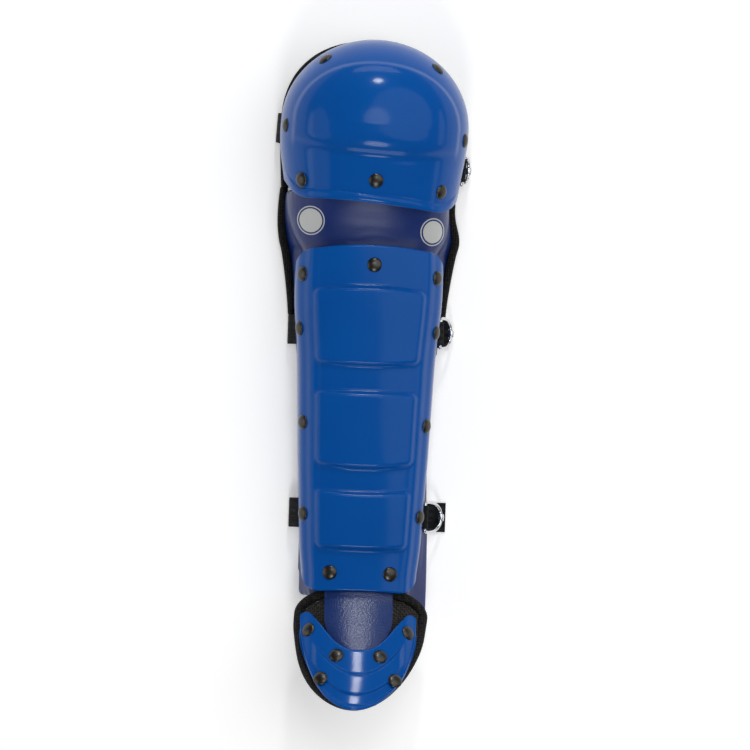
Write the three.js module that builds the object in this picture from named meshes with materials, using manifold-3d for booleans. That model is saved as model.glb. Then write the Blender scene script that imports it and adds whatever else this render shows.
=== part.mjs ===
import * as THREE from 'three';
import Module from 'manifold-3d';

// Baseball catcher's leg guard, millimetres. It lies on its back on its three straps:
// +Z is out of the front of the guard, +Y is toward the knee, +X is the side with the rings.
// Before the last step Y is measured from the middle of the length, and X from the middle of
// the shin shell.

// Driving sizes
const wall = 3; // thickness of the three hard shells
const gap = 0.3; // clearance between neighbouring pieces
const webThick = 2; // webbing of straps and tabs
const webWide = 25; // width of the straps
const tabWide = 20; // width of the tabs that hold the rings
const padThick = 11; // padding behind knee and shin
const footPadThick = 8;
const tongueThick = 3.6;
const kneeHalf = 80; // half the width of the knee cap
const kneeTop = 286; // top edge of the knee cap
const kneeMid = 212; // where its round end begins
const kneeLip = 146; // middle of its lower lip
const kneePeak = 109; // height of its dome above the floor
const kneeRim = 30; // height of its side edges above the floor
const ridgeHigh = 3;
const shinHalf = 63; // half the width of the shin shell at the top
const shinTop = 111;
const shinLong = 296;
const shinFront = 75; // height of the shin shell's front at the top
const shinRim = 28; // height of its side edges
const panelHigh = 4.5; // raised panels of the shin shell
const panelWide = 0.78; // their half width as a share of the shell's
const ankleLong = 23; // from the shin shell's lower edge to the foot shell's middle
const footHalf = 49.4; // half the width of the foot shell
const footLong = 77; // from its middle to its toe edge
const footHigh = 117.5; // height of its toe edge above the floor
const footDrop = 19.5; // how far its sides lie lower there
const footHollow = 31.5; // depth of the curve between its horns
const hornRise = 6.5; // tips of the horns above its middle
const hornWide = 3.9; // width of the horns at their tips
const bandHigh = 2.5; // raised crescent of the foot shell
const tongueHalf = 29; // half the width of the tongue
const tongueTuck = 17; // how far it reaches up under the shin shell
const tongueEnd = 27; // how far it reaches below the foot shell's middle
const footPadOut = 0.8; // how far the foot pad stands out past the shell's sides
const footPadUp = 20.7; // from its middle to its ankle edge
const footPadDown = 74.2; // from its middle to its toe edge
const footPadSide = 2.8; // its middle lies a little to the ring side
const footPadRise = 3; // and a little above the shell's
const bindWide = 5; // black bound edges
const bindHigh = 8;
const footBindWide = 6;
const footBindHigh = 9;
const rivetWide = 13;
const rivetHigh = 2.6;
const shankWide = 4;
const bendHigh = 12; // where a strap at the left turns down to the floor
const wire = 3.5; // wire of the rings
const lean = THREE.MathUtils.degToRad(-3); // the knee leans a little to the ring side
const leanMid = kneeMid - 12; // about this place

const standoff = webThick + 3 * gap; // room for the webbing between shell and pad
const behind = wall + standoff; // the pad's front surface below the shell's
const floorLift = webThick + gap; // the pads rest on the straps
const bindMid = floorLift + bindHigh / 2;
const shinBottom = shinTop - shinLong;
const footMid = shinBottom - ankleLong;

// Shin shell down its length: share of the length, share of the half width and of the front.
const shinTable = [
  { along: 0.0, half: 1.0, front: 1.0 },
  { along: 0.16, half: 1.0, front: 0.985 },
  { along: 0.32, half: 0.937, front: 0.96 },
  { along: 0.45, half: 0.91, front: 0.94 },
  { along: 0.61, half: 0.881, front: 0.91 },
  { along: 0.71, half: 0.857, front: 0.88 },
  { along: 0.87, half: 0.817, front: 0.83 },
  { along: 0.95, half: 0.778, front: 0.81 },
  { along: 1.0, half: 0.77, front: 0.8 },
];
// Raised panels: where each begins and ends along the shell.
const panels = [
  { from: 0.12, to: 0.348 },
  { from: 0.417, to: 0.64 },
  { from: 0.701, to: 0.878 },
];
// Knee cap below its middle: share of the way down to the lip, of the half width, of the rise.
const kneeTable = [
  { down: 0.0, half: 1.0, rise: 1.0 },
  { down: 0.15, half: 1.0, rise: 0.985 },
  { down: 0.36, half: 0.985, rise: 0.925 },
  { down: 0.7, half: 0.955, rise: 0.865 },
  { down: 1.0, half: 0.925, rise: 0.81 },
];
// Rings of the knee cap from the middle out: share at the sides and at the round end.
const kneeRings = [
  { side: 0.0, end: 0.0 },
  { side: 0.4, end: 0.34 },
  { side: 0.7, end: 0.59 },
  { side: 0.86, end: 0.69 },
  { side: 0.9, end: 0.735 },
  { side: 0.96, end: 0.88 },
  { side: 0.99, end: 0.97 },
  { side: 1.0, end: 1.0 },
];
// Shin pad, places measured from the shin shell's top and along its length. The side wings
// between knee and shin stand wider than the shell; further down the pad lies inside it.
const padTable = [
  { along: -0.142, half: 1.11, front: 1.12, round: 2.3, left: 1.11, right: 1.11, thick: 1 },
  { along: -0.1, half: 1.11, front: 1.06, round: 2.3, left: 1.12, right: 1.12, thick: 1 },
  { along: -0.06, half: 1.09, front: 0.98, round: 2.4, left: 1.14, right: 1.14, thick: 1 },
  { along: -0.017, half: 1.03, front: 0.93, round: 2.5, left: 1.145, right: 1.145, thick: 1 },
  { along: 0.024, half: 0, front: 0, round: 3, left: 1.1, right: 1.1, thick: 1 },
  { along: 0.1, half: 0, front: 0, round: 3, left: 1.04, right: 1.04, thick: 1 },
  { along: 0.19, half: 0, front: 0, round: 3, left: 0.99, right: 0.99, thick: 1 },
  { along: 0.3, half: 0, front: 0, round: 3, left: 0.96, right: 0.98, thick: 1 },
  { along: 0.37, half: 0, front: 0, round: 3, left: 0.88, right: 0.94, thick: 1 },
  { along: 0.6, half: 0, front: 0, round: 3, left: 0.83, right: 0.9, thick: 1 },
  { along: 0.73, half: 0, front: 0, round: 3, left: 0.8, right: 0.92, thick: 1 },
  { along: 0.86, half: 0, front: 0, round: 3, left: 0.8, right: 0.94, thick: 0.8 },
  { along: 0.93, half: 0.72, front: 0.62, round: 3, left: 0.81, right: 0.96, thick: 0.6 },
  { along: 0.97, half: 0.69, front: 0.512, round: 3, left: 0.81, right: 0.965, thick: 0.55 },
  { along: 1.044, half: 0.69, front: 0.512, round: 3, left: 0.82, right: 0.965, thick: 0.55 },
];
// Upper face of the foot shell: place as a share of the way from its middle to its toe edge,
// shares of its height and of the drop of its sides.
const footTable = [
  { past: 0.623, high: 0.485, drop: 0.6 },
  { past: 0.286, high: 0.5065, drop: 0.6 },
  { past: 0.104, high: 0.5702, drop: 0.8 },
  { past: -0.091, high: 0.651, drop: 0.9 },
  { past: -0.35, high: 0.7532, drop: 0.95 },
  { past: -1, high: 1, drop: 1 },
];
// Straps and rings: place of the strap at the left and of the ring at the right, as shares of
// the way down the knee cap's lower part or down the shin shell, and how far each stands out
// past the shell's side there.
const fastenings = [
  { name: 'knee', left: 0.1136, right: 0.4621, leftOut: 2.4, rightOut: 7.62, knee: true },
  { name: 'upper', left: 0.249, right: 0.2466, leftOut: 6, rightOut: 13.65, knee: false },
  { name: 'lower', left: 0.7757, right: 0.777, leftOut: 7.64, rightOut: 18.27, knee: false },
];
// Rivets of the knee cap: share of the half width, and of the way up its round end or, below
// zero, down its lower part.
const kneeRivets = [
  { side: -0.6, up: 0.7122 },
  { side: 0.6, up: 0.7122 },
  { side: -0.9563, up: -0.0909 },
  { side: 0.9563, up: -0.0909 },
  { side: -0.745, up: -0.7803 },
  { side: 0.745, up: -0.7803 },
  { side: 0.0375, up: -0.7121 },
];
// Rivets of the shin shell: share of the half width there and of the length.
const shinRivets = [
  { side: 0.048, along: 0.0574 },
  { side: -0.905, along: 0.0895 },
  { side: 0.905, along: 0.0895 },
  { side: -0.958, along: 0.2466 },
  { side: 0.958, along: 0.2466 },
  { side: -0.9313, along: 0.5149 },
  { side: 0.9313, along: 0.5149 },
  { side: -0.9446, along: 0.777 },
  { side: 0.9446, along: 0.777 },
  { side: -0.522, along: 0.9426 },
  { side: 0.522, along: 0.9426 },
];
// Rivets of the foot shell: share of the half width and of the way to the toe edge.
const footRivets = [
  { side: -0.8563, past: 0.1169 },
  { side: 0.8563, past: 0.1169 },
  { side: -0.3745, past: 0.3831 },
  { side: 0.3745, past: 0.3831 },
  { side: -0.6275, past: 0.6494 },
  { side: 0.6275, past: 0.6494 },
];

const mix = (a, b, t) => a + (b - a) * t;
const clamp = (v) => Math.min(1, Math.max(0, v));
const fade = (a, b, v) => {
  const t = clamp((v - a) / (b - a));
  return t * t * (3 - 2 * t);
};

// Value of one column of a table at a place; the first column named is the place.
function lookUp(table, place, value, v) {
  const up = table[1][place] > table[0][place];
  for (let i = 1; i < table.length; i++) {
    const a = table[i - 1];
    const b = table[i];
    const inside = up ? v <= b[place] : v >= b[place];
    if (inside || i === table.length - 1) {
      return mix(a[value], b[value], clamp((v - a[place]) / (b[place] - a[place])));
    }
  }
  return 0;
}

// Height of an arch with a rounded-box section above its side edges, as a share.
const arch = (share, round) => Math.pow(Math.max(0, 1 - Math.pow(Math.abs(share), round)), 1 / round);

// Forms of the three shells: height of the surface lying `off` below the outer one.
const alongShin = (y) => (shinTop - y) / shinLong;
const shinHalfAt = (y) => shinHalf * lookUp(shinTable, 'along', 'half', alongShin(y));
const shinFrontAt = (y) => shinFront * lookUp(shinTable, 'along', 'front', alongShin(y));

function shinZ(x, y, off, raised = true) {
  const half = shinHalfAt(y);
  const share = x / (half - off);
  let z = shinRim + (shinFrontAt(y) - off - shinRim) * arch(share, 3);
  if (raised) {
    const step = 4 / shinLong;
    for (const p of panels) {
      const a = alongShin(y);
      const inLength = Math.min(clamp((a - p.from) / step), clamp((p.to - a) / step));
      const inWidth = clamp((panelWide - Math.abs(x) / half) / 0.06);
      z += panelHigh * Math.min(inLength, inWidth);
    }
  }
  return z;
}

const lipY = (x) => kneeLip - 3.33 * (x / kneeHalf) ** 2 - 0.03 * x;
const downKnee = (y) => (kneeMid - y) / (kneeMid - kneeLip);
const kneeHalfAt = (y) => kneeHalf * lookUp(kneeTable, 'down', 'half', downKnee(y));
const kneeEnd = kneeTop - kneeMid;

// Half width of the knee form at a height Y, round end included.
function kneeEdge(y, off) {
  const e = Math.max(0, y - kneeMid) / (kneeEnd - off);
  return (kneeHalfAt(y) - off) * Math.sqrt(Math.max(0, 1 - e * e));
}

function kneeZ(x, y, off, raised = true) {
  const e = Math.max(0, y - kneeMid) / (kneeEnd - off);
  const rho = Math.hypot(x / (kneeHalfAt(y) - off), e);
  const rise = lookUp(kneeTable, 'down', 'rise', downKnee(y));
  let z = kneeRim + ((kneePeak - kneeRim) * rise - off) * arch(rho, 2.3);
  if (raised) {
    const foot = mix(0.9, 0.735, rho > 0 ? (e / rho) ** 2 : 0);
    const crease = fade(0.42, 0.16, downKnee(y));
    z += ridgeHigh * clamp((foot - rho) / 0.045) * crease;
    z += 2 * fade(9, 6.6, y - lipY(x)) * clamp((1 - rho) * 12);
  }
  return z;
}

function footZ(x, y, off, raised = true) {
  const past = (y - footMid) / footLong;
  const high = footHigh * lookUp(footTable, 'past', 'high', past);
  const drop = footDrop * lookUp(footTable, 'past', 'drop', past);
  let z = high - drop * Math.pow(Math.abs(x) / footHalf, 2.2) - off * 1.155;
  if (raised) {
    const c = footAcross(x, y);
    const band = Math.min(clamp((c - 0.34) / 0.06), clamp((0.7 - c) / 0.06));
    z += bandHigh * band * fade(0.82, 0.68, Math.abs(x) / footHalf);
  }
  return z;
}

// Edges of the foot shell, and how far across it a place lies (0 ankle side, 1 toe side).
const hornX = footHalf - hornWide;
const footInner = (x) => footMid + hornRise
  - footHollow * Math.cos((Math.PI / 2) * clamp(Math.abs(x) / hornX));
const footOuter = (x) => footMid - footLong * Math.sqrt(1 - clamp(Math.abs(x) / footHalf) ** 2);
const footAcross = (x, y) => (footInner(x) - y) / Math.max(1, footInner(x) - footOuter(x));

// The knee half of the guard leans; the pad between knee and shin bends with it.
function leaning(p) {
  const angle = lean * fade(shinTop, kneeLip + 2, p[1]);
  const dx = p[0];
  const dy = p[1] - leanMid;
  return [dx * Math.cos(angle) - dy * Math.sin(angle),
    leanMid + dx * Math.sin(angle) + dy * Math.cos(angle), p[2]];
}

// Triangles to a closed geometry: equal corners are shared and empty triangles left out.
function closed(triangles) {
  const seen = new Map();
  const places = [];
  const index = [];
  const corner = (p) => {
    const key = p.map((v) => Math.round(v * 2000)).join(',');
    if (!seen.has(key)) {
      seen.set(key, places.length / 3);
      places.push(...p);
    }
    return seen.get(key);
  };
  for (const t of triangles) {
    const [a, b, c] = t.map(corner);
    if (a !== b && b !== c && c !== a) index.push(a, b, c);
  }
  let volume = 0;
  const at = (i) => new THREE.Vector3(places[3 * i], places[3 * i + 1], places[3 * i + 2]);
  for (let i = 0; i < index.length; i += 3) {
    volume += at(index[i]).dot(at(index[i + 1]).cross(at(index[i + 2])));
  }
  if (volume < 0) index.reverse();
  const g = new THREE.BufferGeometry();
  g.setAttribute('position', new THREE.Float32BufferAttribute(places, 3));
  g.setIndex(index);
  return g;
}

// Skin of quads between the rows of a grid of points.
function skin(rows, flip) {
  const out = [];
  for (let i = 1; i < rows.length; i++) {
    for (let j = 1; j < rows[i].length; j++) {
      const [a, b, c, d] = [rows[i - 1][j - 1], rows[i - 1][j], rows[i][j], rows[i][j - 1]];
      if (flip) out.push([a, c, b], [a, d, c]);
      else out.push([a, b, c], [a, c, d]);
    }
  }
  return out;
}

// Solid between an outer and an inner grid with the same rows and columns. With a seam, the
// first row folds onto itself and needs no edge strip.
function solid(outer, inner, seam = false) {
  const column = (g, j) => g.map((r) => r[j]);
  const last = outer.length - 1;
  const end = outer[0].length - 1;
  const out = [...skin(outer, false), ...skin(inner, true)];
  if (!seam) out.push(...skin([inner[0], outer[0]], false));
  out.push(...skin([outer[last], inner[last]], false));
  out.push(...skin([column(outer, 0), column(inner, 0)], false));
  out.push(...skin([column(inner, end), column(outer, end)], false));
  return closed(out);
}

// Bead with an oval section along a path; `up` is the direction of the section's height.
function bead(path, wide, high, up, loop = false, sides = 6) {
  const n = path.length;
  const at = (i) => new THREE.Vector3(...path[loop ? (i + n) % n : Math.min(n - 1, Math.max(0, i))]);
  const rows = path.map((p, i) => {
    const along = at(i + 1).sub(at(i - 1)).normalize();
    const side = along.clone().cross(up).normalize();
    const top = side.clone().cross(along).normalize();
    const row = [];
    for (let k = 0; k <= sides; k++) {
      const a = (2 * Math.PI * (k % sides + 0.5)) / sides;
      row.push(at(i).addScaledVector(side, (Math.cos(a) * wide) / 2)
        .addScaledVector(top, (Math.sin(a) * high) / 2).toArray());
    }
    return row;
  });
  if (loop) return closed(skin([...rows, rows[0]], false));
  const out = skin(rows, false);
  const tail = rows[n - 1];
  for (let k = 0; k < sides; k++) {
    out.push([path[0], rows[0][k + 1], rows[0][k]], [path[n - 1], tail[k], tail[k + 1]]);
  }
  return closed(out);
}

const wasm = await Module();
wasm.setup();
const { Manifold, Mesh } = wasm;

function toBody(g) {
  return new Manifold(new Mesh({
    numProp: 3,
    vertProperties: new Float32Array(g.attributes.position.array),
    triVerts: new Uint32Array(g.index.array),
  }));
}

function toGeometry(body) {
  const m = body.getMesh();
  const g = new THREE.BufferGeometry();
  g.setAttribute('position', new THREE.Float32BufferAttribute(m.vertProperties, 3));
  g.setIndex(Array.from(m.triVerts));
  return g;
}

// A primitive with its doubled corners shared, so that it is one closed body.
function primitive(g) {
  const p = g.attributes.position;
  const corner = (i) => [p.getX(i), p.getY(i), p.getZ(i)];
  const triangles = [];
  for (let i = 0; i < g.index.count; i += 3) {
    triangles.push([0, 1, 2].map((k) => corner(g.index.getX(i + k))));
  }
  return toBody(closed(triangles));
}

// Round bar between two points, for holes and eyes.
function bar(a, b, radius, sides = 12) {
  const from = new THREE.Vector3(...a);
  const to = new THREE.Vector3(...b);
  const g = new THREE.CylinderGeometry(radius, radius, from.distanceTo(to), sides);
  const turn = new THREE.Quaternion().setFromUnitVectors(
    new THREE.Vector3(0, 1, 0), to.clone().sub(from).normalize());
  g.applyQuaternion(turn);
  const mid = from.add(to).multiplyScalar(0.5);
  g.translate(mid.x, mid.y, mid.z);
  return primitive(g);
}

const group = new THREE.Group();
const looks = {
  shell: { color: 0x0a468c, roughness: 0.2, metalness: 0 },
  vinyl: { color: 0x1b2c53, roughness: 0.6, metalness: 0 },
  tongue: { color: 0x193766, roughness: 0.6, metalness: 0 },
  mesh: { color: 0x1c222c, roughness: 0.9, metalness: 0 },
  edge: { color: 0x111317, roughness: 0.8, metalness: 0 },
  webbing: { color: 0x15171a, roughness: 0.85, metalness: 0 },
  rivet: { color: 0x2a2f36, roughness: 0.35, metalness: 1 },
  bright: { color: 0xc0c4c8, roughness: 0.2, metalness: 1 },
};

function add(name, geometry, look) {
  const p = geometry.attributes.position;
  for (let i = 0; i < p.count; i++) p.setXYZ(i, ...leaning([p.getX(i), p.getY(i), p.getZ(i)]));
  geometry.computeVertexNormals();
  const mesh = new THREE.Mesh(geometry, new THREE.MeshStandardMaterial(looks[look]));
  mesh.name = name;
  group.add(mesh);
}

// Where a rivet stands on a form: the point, its outward direction, and the lift that keeps
// the flat underside of its cap off the surface around it.
function seat(form, rivet) {
  const h = 0.05;
  const z = form(rivet.x, rivet.y, 0);
  const out = new THREE.Vector3(
    (form(rivet.x - h, rivet.y, 0) - form(rivet.x + h, rivet.y, 0)) / (2 * h),
    (form(rivet.x, rivet.y - h, 0) - form(rivet.x, rivet.y + h, 0)) / (2 * h), 1).normalize();
  const base = new THREE.Vector3(rivet.x, rivet.y, z);
  const turn = new THREE.Quaternion().setFromUnitVectors(new THREE.Vector3(0, 0, 1), out);
  let lift = 0;
  for (let k = 0; k < 48; k++) {
    const r = (rivetWide / 2) * (1 + (k % 3)) / 3;
    const q = new THREE.Vector3(r * Math.cos(k * 0.393), r * Math.sin(k * 0.393), 0);
    q.applyQuaternion(turn).add(base);
    lift = Math.max(lift, (form(q.x, q.y, 0) - q.z) * out.z);
  }
  return { base, out, turn, lift };
}

// Rivets of one shell; returns the bars that drill their holes. `depth` gives the length of a
// shank from how steeply the surface stands.
const rivetSides = 9;
function rivets(name, form, list, depth) {
  return list.map((rivet, i) => {
    const { base, out, turn, lift } = seat(form, rivet);
    const deep = depth(out.z);
    const low = lift + gap;
    const r = rivetWide / 2;
    const shank = shankWide / 2;
    const outline = [[0, -deep], [shank, -deep], [shank, low], [r, low],
      [r * 0.62, low + rivetHigh * 0.78], [0, low + rivetHigh]];
    const rows = outline.map(([radius, high]) => {
      const row = [];
      for (let k = 0; k <= rivetSides; k++) {
        const a = (Math.PI * 2 * (k % rivetSides)) / rivetSides;
        const q = new THREE.Vector3(radius * Math.cos(a), radius * Math.sin(a), high);
        row.push(q.applyQuaternion(turn).add(base).toArray());
      }
      return row;
    });
    add(`${name}_rivet_${i + 1}`, closed(skin(rows, false)), 'rivet');
    const far = (d) => base.clone().addScaledVector(out, d).toArray();
    return bar(far(-deep - 4), far(8), (shank + gap) / Math.cos(Math.PI / 8), 8);
  });
}

const drilled = (g, holes) => toGeometry(holes.reduce((b, hole) => b.subtract(hole), toBody(g)));

// Directions round the end of the knee cap, in degrees from the left side.
const kneeTurns = [4, 14, 26, 39, 52, 65, 78, 90, 102, 115, 128, 141, 154, 166, 176];

// Knee cap: rings from the middle line out to the side edges, each running from the lip up the
// left side, round the end and down the right side to the lip.
function kneeGrid(rings, off, raised, lip, steps) {
  const at = (ring, side, place) => {
    if (side === 0) {
      const share = mix(ring.side, ring.end, Math.sin(place) ** 2);
      const x = -(kneeHalfAt(kneeMid) - off) * share * Math.cos(place);
      const y = kneeMid + (kneeEnd - off) * share * Math.sin(place);
      return [x, y, ring.z ?? kneeZ(x, y, off, raised)];
    }
    const reach = (y) => side * ring.side * (kneeHalfAt(y) - off);
    const low = lip(reach(kneeLip));
    const y = mix(low, kneeMid, place);
    const x = reach(y);
    return [x, y, ring.z ?? kneeZ(x, y, off, raised)];
  };
  return rings.map((ring) => {
    const round = kneeTurns.map((a) => at(ring, 0, THREE.MathUtils.degToRad(a)));
    const left = steps.map((s) => at(ring, -1, s));
    return [...left, ...round, ...steps.slice().reverse().map((s) => at(ring, 1, s))];
  });
}

const kneePlaces = kneeRivets.map((r) => ({
  x: r.side * kneeHalf,
  y: kneeMid + r.up * (r.up > 0 ? kneeEnd : kneeMid - kneeLip),
}));
const kneeHoles = rivets('knee', kneeZ, kneePlaces, () => behind - gap);
const lipSteps = [0, 0.03, 0.1, 0.14, 0.35, 0.55, 0.68, 0.84, 1];
const capShell = solid(kneeGrid(kneeRings, 0, true, lipY, lipSteps),
  kneeGrid(kneeRings, wall, true, lipY, lipSteps), true);
add('knee_shell', drilled(capShell, kneeHoles), 'shell');

// Knee pad: the same form further in, carried down to the straps.
const cut = () => kneeLip + 7.5;
const padRings = [{ side: 0, end: 0 }, { side: 0.35, end: 0.35 }, { side: 0.62, end: 0.62 },
  { side: 0.82, end: 0.82 }, { side: 0.94, end: 0.94 }, { side: 1, end: 1 },
  { side: 1, end: 1, z: floorLift }];
const padSteps = [0, 0.25, 0.5, 0.75, 1];
add('knee_pad', solid(kneeGrid(padRings, behind, false, cut, padSteps),
  kneeGrid(padRings, behind + padThick, false, cut, padSteps), true), 'vinyl');

// Binding of the knee pad's edge, just outside it.
const bindOff = behind - gap - bindWide / 2;
const kneeEdgeLine = kneeGrid([{ side: 1, end: 1, z: bindMid }], bindOff, false,
  () => kneeLip + 10, [0, 0.25, 0.5, 0.75, 1])[0];
const up = new THREE.Vector3(0, 0, 1);
add('knee_binding', bead(kneeEdgeLine, bindWide, bindHigh, up), 'edge');

// Shin shell: rows down the length. Corners are rounded by narrowing the first and last rows.
const topCorner = 17;
const lowCorner = 15;
function shinReach(y) {
  const cutOff = (r, d) => (d >= r ? 0 : r - Math.sqrt(Math.max(0, r * r - (r - d) ** 2)));
  return shinHalfAt(y) - cutOff(topCorner, shinTop - y) - cutOff(lowCorner, y - shinBottom);
}

function shinRows() {
  const rows = [];
  for (let k = 0; k < 4; k++) rows.push(shinTop - topCorner * (1 - Math.cos((k * Math.PI) / 8)));
  rows.push(shinTop - topCorner);
  const step = 4 / shinLong;
  const edges = panels.flatMap((p) => [p.from, p.from + step, p.to - step, p.to]);
  const bends = shinTable.map((r) => r.along).filter((a) => a > 0.1 && a < 0.9
    && edges.every((e) => Math.abs(e - a) > 0.01));
  for (const a of [...edges, ...bends].sort((a, b) => a - b)) rows.push(shinTop - a * shinLong);
  for (let k = 4; k >= 0; k--) rows.push(shinBottom + lowCorner * (1 - Math.cos((k * Math.PI) / 8)));
  return rows;
}

const shinShares = [0, 0.4, 0.72, 0.78, 0.87, 0.94, 0.98, 1];
const bothSides = (list) => [...list.slice(1).reverse().map((s) => -s), ...list];
function shinGrid(off) {
  return shinRows().map((y) => bothSides(shinShares).map((s) => {
    const x = s * (shinReach(y) - off * Math.abs(s));
    const hollow = 3.5 * (1 - s * s) * fade(shinBottom + 14, shinBottom, y);
    const z = shinZ(x, y, off);
    return [x, y + hollow, z];
  }));
}
const shinPlaces = shinRivets.map((r) => {
  const y = shinTop - r.along * shinLong;
  return { x: r.side * shinHalfAt(y), y };
});
const shinHoles = rivets('shin', shinZ, shinPlaces, () => behind - gap);
add('shin_shell', drilled(solid(shinGrid(0), shinGrid(wall)), shinHoles), 'shell');

// Shin pad: an arch with straight sides below, flaring out to its rear edges.
const padRow = (row, off) => {
  const y = shinTop - row.along * shinLong;
  const own = row.half > 0;
  const half = (own ? row.half * shinHalf : shinHalfAt(y) - behind) - off;
  const front = (own ? row.front * shinFront : shinFrontAt(y) - behind) - off;
  const arcs = [0, 0.42, 0.7, 0.86, 0.95, 1];
  const slant = -8 * fade(0.93, 1.044, row.along);
  const points = bothSides(arcs).map((s) => [s * half, y + slant * s,
    shinRim - 2 + (front - shinRim + 2) * arch(s, row.round)]);
  const rear = (side, share) => {
    const low = shinHalf * share - off;
    return [[side * half, y + slant * side, shinRim - 4], [side * low, y + slant * side, floorLift]];
  };
  return [...rear(-1, row.left).reverse(), ...points, ...rear(1, row.right)];
};
add('shin_pad', solid(padTable.map((r) => padRow(r, 0)),
  padTable.map((r) => padRow(r, padThick * r.thick))), 'vinyl');

// Bindings along the edges of the side wings.
for (const [name, side] of [['left', -1], ['right', 1]]) {
  const path = [];
  for (let k = 0; k <= 8; k++) {
    const along = mix(-0.125, 0.2, k / 8);
    const out = shinHalf * lookUp(padTable, 'along', name, along) + gap + bindWide / 2;
    path.push([side * out, shinTop - along * shinLong, bindMid]);
  }
  add(`shin_binding_${name}`, bead(path, bindWide, bindHigh, up), 'edge');
}

// Foot shell: a crescent between its ankle edge and its toe edge.
const footShares = [0, 0.34, 0.4, 0.64, 0.7, 1];
function footGrid(off) {
  const steps = 14;
  return footShares.map((share) => {
    const row = [];
    for (let k = 0; k <= steps; k++) {
      const a = Math.PI * (1 + k / steps);
      const inX = hornX * Math.cos(a);
      const outX = footHalf * Math.cos(a);
      const x = mix(inX, outX, share);
      const y = mix(footInner(inX), footMid + footLong * Math.sin(a), share);
      row.push([x, y, footZ(x, y, off)]);
    }
    return row;
  });
}
const underFoot = wall + tongueThick + 2 * gap;
const footPlaces = footRivets.map((r) => ({ x: r.side * footHalf, y: footMid - r.past * footLong }));
const footHoles = rivets('foot', footZ, footPlaces, (steep) => 1.1 * underFoot * steep);
add('foot_shell', drilled(solid(footGrid(0), footGrid(wall)), footHoles), 'shell');

// Tongue: from beneath the shin shell to a round end beneath the foot shell.
function tongueGrid(off) {
  const rows = [];
  for (let k = 0; k <= 12; k++) {
    const low = footMid - tongueEnd;
    const y = mix(shinBottom + tongueTuck, low, Math.sin((k / 12) * (Math.PI / 2)));
    const past = clamp((low + tongueHalf - y) / tongueHalf);
    const half = tongueHalf * Math.sqrt(Math.max(0, 1 - past * past));
    rows.push(bothSides([0, 0.5, 1]).map((s) => {
      const x = s * half;
      return [x, y, footZ(x, y, off, false)];
    }));
  }
  return rows;
}
const tongueOff = wall + gap;
const tongue = solid(tongueGrid(tongueOff), tongueGrid(tongueOff + tongueThick));
add('tongue', drilled(tongue, footHoles), 'tongue');

// Foot pad: an egg shape on the same climbing form, with a thick rim round it.
const padMid = [footPadSide, footMid + footPadRise];
const padReach = (grow, a) => [padMid[0] + (footHalf + footPadOut + grow) * Math.cos(a),
  padMid[1] + ((Math.sin(a) > 0 ? footPadUp : footPadDown) + grow) * Math.sin(a)];
const footPadTop = underFoot + gap;
function footPadGrid(off) {
  return [0, 0.35, 0.65, 0.87, 1].map((share) => {
    const row = [];
    for (let k = 0; k <= 28; k++) {
      const [px, py] = padReach(0, (2 * Math.PI * (k % 28)) / 28);
      const x = mix(padMid[0], px, share);
      const y = mix(padMid[1], py, share);
      row.push([x, y, footZ(x, y, off, false)]);
    }
    return row;
  });
}
const padUpper = footPadGrid(footPadTop);
const padLower = footPadGrid(footPadTop + footPadThick);
add('foot_pad', closed([...skin(padUpper, false), ...skin(padLower, true),
  ...skin([padUpper[4], padLower[4]], false)]), 'mesh');
const footRim = [];
for (let k = 0; k < 28; k++) {
  const [x, y] = padReach(gap + footBindWide / 2 + 0.2, (2 * Math.PI * k) / 28);
  footRim.push([x, y, footZ(x, y, footPadTop + footPadThick / 2, false)]);
}
add('foot_binding', bead(footRim, footBindWide, footBindHigh, up, true), 'edge');

// Webbing along the inside of a shell's side, between shell and pad, then down to `low`.
function webbing(place, side, y, wide, low) {
  const form = place.knee ? kneeZ : shinZ;
  const rim = place.knee ? kneeRim : shinRim;
  const edge = place.knee ? kneeEdge : (v, off) => shinHalfAt(v) - off;
  const shares = place.knee ? [0.9, 0.96, 0.99, 1] : [0.9, 0.94, 0.98, 1];
  const grid = (off, face) => {
    const rows = shares.map((s) => [-0.5, 0, 0.5].map((v) => {
      const at = y + v * wide;
      const x = side * s * edge(at, off);
      return [x, at, s < 1 ? form(x, at, off, false) : rim];
    }));
    rows.push([-0.5, 0, 0.5].map((v) => [side * edge(y + v * wide, off), y + v * wide, rim - 4]));
    for (const end of low) {
      rows.push([-0.5, 0, 0.5].map((v) => [end[face][0], end.y + v * wide, end[face][1]]));
    }
    return rows;
  };
  return solid(grid(wall + gap, 'outer'), grid(wall + gap + webThick, 'inner'));
}

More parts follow.
